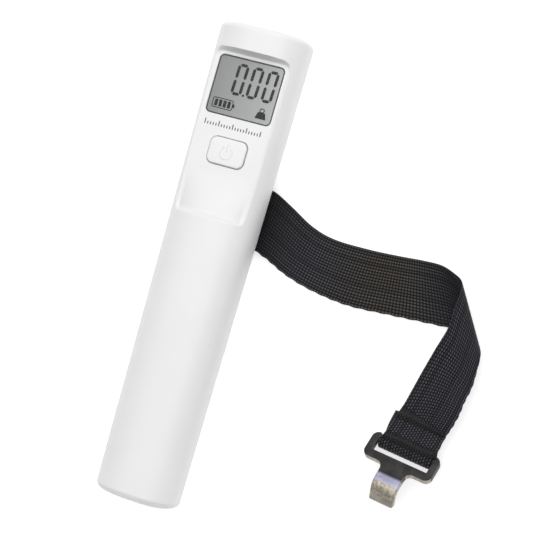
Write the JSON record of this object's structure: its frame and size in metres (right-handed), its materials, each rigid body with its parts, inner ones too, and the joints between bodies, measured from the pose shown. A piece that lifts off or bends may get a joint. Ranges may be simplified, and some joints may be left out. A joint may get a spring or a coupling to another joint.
{
  "type": "digital luggage scale",
  "caption": "Hand-held digital luggage scale: long oval case with a sunk display and mode button, webbing strap and flat T-hook.",
  "frame": {"origin": "centre of the flat back face of the case", "axes": "+Y along the case towards the display end, +Z out of the display, +X to the right seen from the front"},
  "size_m": [0.1189, 0.17, 0.0251],
  "materials": {
    "white_case": "fine satin moulded",
    "back_case": "fine satin moulded",
    "cap": "fine satin moulded",
    "button": "satin",
    "window": "clear",
    "tape": "matt",
    "lcd": "clear",
    "reflector": "satin grey",
    "ivory_plastic": "moulded",
    "elastomer": "matt",
    "board": "solder mask",
    "epoxy": "glossy",
    "chips": "matt",
    "switch_metal": "stamped",
    "plunger": "moulded",
    "beam": "milled",
    "gauge_cover": "silicone",
    "steel": "satin",
    "screw_steel": "zinc plated",
    "battery_wrap": "printed film, plain",
    "tray": "moulded",
    "contact": "nickel plated",
    "lead": "matt",
    "webbing": "woven nylon",
    "hook_metal": "gun metal plated"
  },
  "bodies": {
    "case": {"front_shell": "white_case", "back_shell": "back_case", "display_window": "window", "window_tape": "tape", "lcd_glass": "lcd", "lcd_reflector": "reflector", "lcd_frame": "ivory_plastic", "elastomer_strips": "elastomer", "main_board": "board", "controller_blob": "epoxy", "board_components": "chips", "switch_body": "switch_metal", "load_cell": "beam", "strain_gauges": "gauge_cover", "load_cell_base": "steel", "load_cell_screws": "screw_steel", "yoke": "steel", "yoke_screws": "screw_steel", "strap_pin": "steel", "catch_pin": "steel", "battery_left": "battery_wrap", "battery_right": "battery_wrap", "battery_tray": "tray", "contact_spring": "contact", "contact_plate": "contact", "case_screws": "screw_steel", "board_screws": "screw_steel", "load_cell_leads": "lead", "battery_leads": "lead"},
    "button": {"mode_button": "button"},
    "plunger": {"switch_plunger": "plunger"},
    "cap": {"end_cap": "cap", "bridge_contact": "contact"},
    "strap": {"strap": "webbing"},
    "hook": {"hook": "hook_metal"}
  },
  "joints": [
    {"name": "mode_press", "type": "slide", "parent": "case", "child": "button", "axis": [0, 0, -1], "range_m": [0, 0.0004], "stiffness_N_per_m": 900},
    {"name": "switch_press", "type": "slide", "parent": "case", "child": "plunger", "axis": [0, 0, -1], "range_m": [0, 0.0004]},
    {"name": "cap_pull", "type": "slide", "parent": "case", "child": "cap", "axis": [0, -1, 0], "range_m": [0, 0.012]},
    {"name": "strap_swing", "type": "hinge", "parent": "case", "child": "strap", "pos_m": [0.0025, 0.021, 0.0062], "axis": [0, 1, 0], "range_deg": [0, 90]},
    {"name": "hook_tilt", "type": "hinge", "parent": "strap", "child": "hook", "pos_m": [0.086, -0.0414, 0.0043], "axis": [-0.9848, 0.1035, -0.1392], "range_deg": [-40, 80]}
  ],
  "couplings": [
    {"joint": "switch_press", "follows": "mode_press", "ratio": 1}
  ]
}
